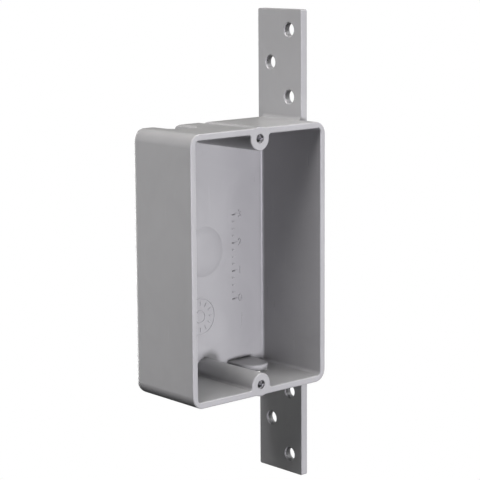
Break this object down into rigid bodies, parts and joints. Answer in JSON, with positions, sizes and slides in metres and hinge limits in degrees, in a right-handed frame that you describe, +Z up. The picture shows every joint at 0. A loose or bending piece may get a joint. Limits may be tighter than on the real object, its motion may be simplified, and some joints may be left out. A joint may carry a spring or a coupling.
{
  "type": "nail-on switch box",
  "caption": "Shallow moulded single-gang box, open at the front, with device screw bosses, snap-out cable tongues and a nailing strap flush with one side.",
  "frame": {"origin": "middle of the front rim plane, midway between the two device screw holes", "axes": "+X to the side that carries the nailing strap, +Y into the box and the wall, +Z up along the strap"},
  "size_m": [0.0599, 0.0315, 0.164],
  "materials": {
    "pvc": "satin as-moulded grey PVC"
  },
  "bodies": {
    "root": {"switch_box": "pvc"}
  },
  "joints": []
}
